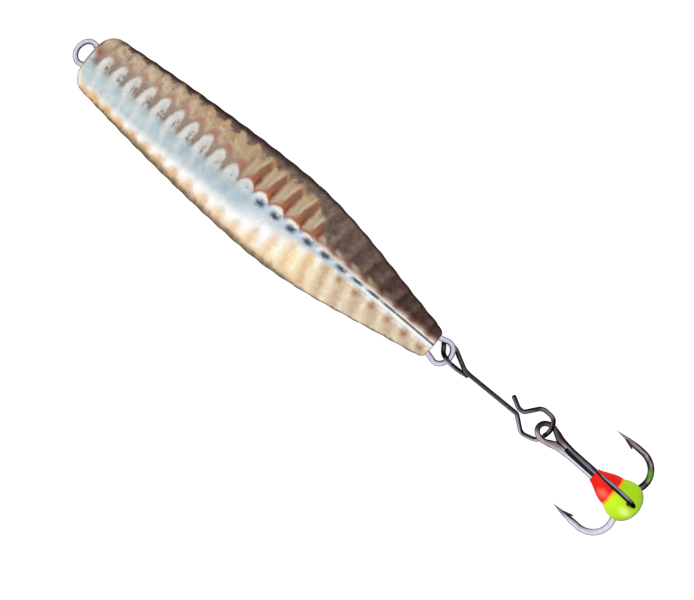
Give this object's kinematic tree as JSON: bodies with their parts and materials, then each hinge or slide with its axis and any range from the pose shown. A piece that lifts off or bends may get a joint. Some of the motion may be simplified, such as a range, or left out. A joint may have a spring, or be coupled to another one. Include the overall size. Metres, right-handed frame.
{
  "type": "fishing jig",
  "caption": "Ribbed metal fishing jig with a flat back, wire eyes at both ends, an open wire snap and a treble hook with a resin drop cast over its shank.",
  "frame": {"origin": "middle of the overall box in X and Y, at the height of the flat back that the jig lies on", "axes": "+X along the jig from the blunt line end to the treble hook, +Z out of the flat back through the ribbed crest, +Y to the left"},
  "size_m": [0.0972, 0.0142, 0.0123],
  "materials": {
    "plated_metal": "polished silver plating that lets warm copper show on the flanks",
    "eye_wire": "bright plated wire",
    "snap_wire": "bright drawn wire, slightly dark",
    "hook_steel": "dark nickel, polished",
    "resin": "glossy resin, yellow-green behind and red in front"
  },
  "bodies": {
    "root": {"jig_body": "plated_metal", "head_eye": "eye_wire", "tail_eye": "eye_wire", "snap": "snap_wire", "treble_hook": "hook_steel", "hook_drop": "resin"}
  },
  "joints": []
}
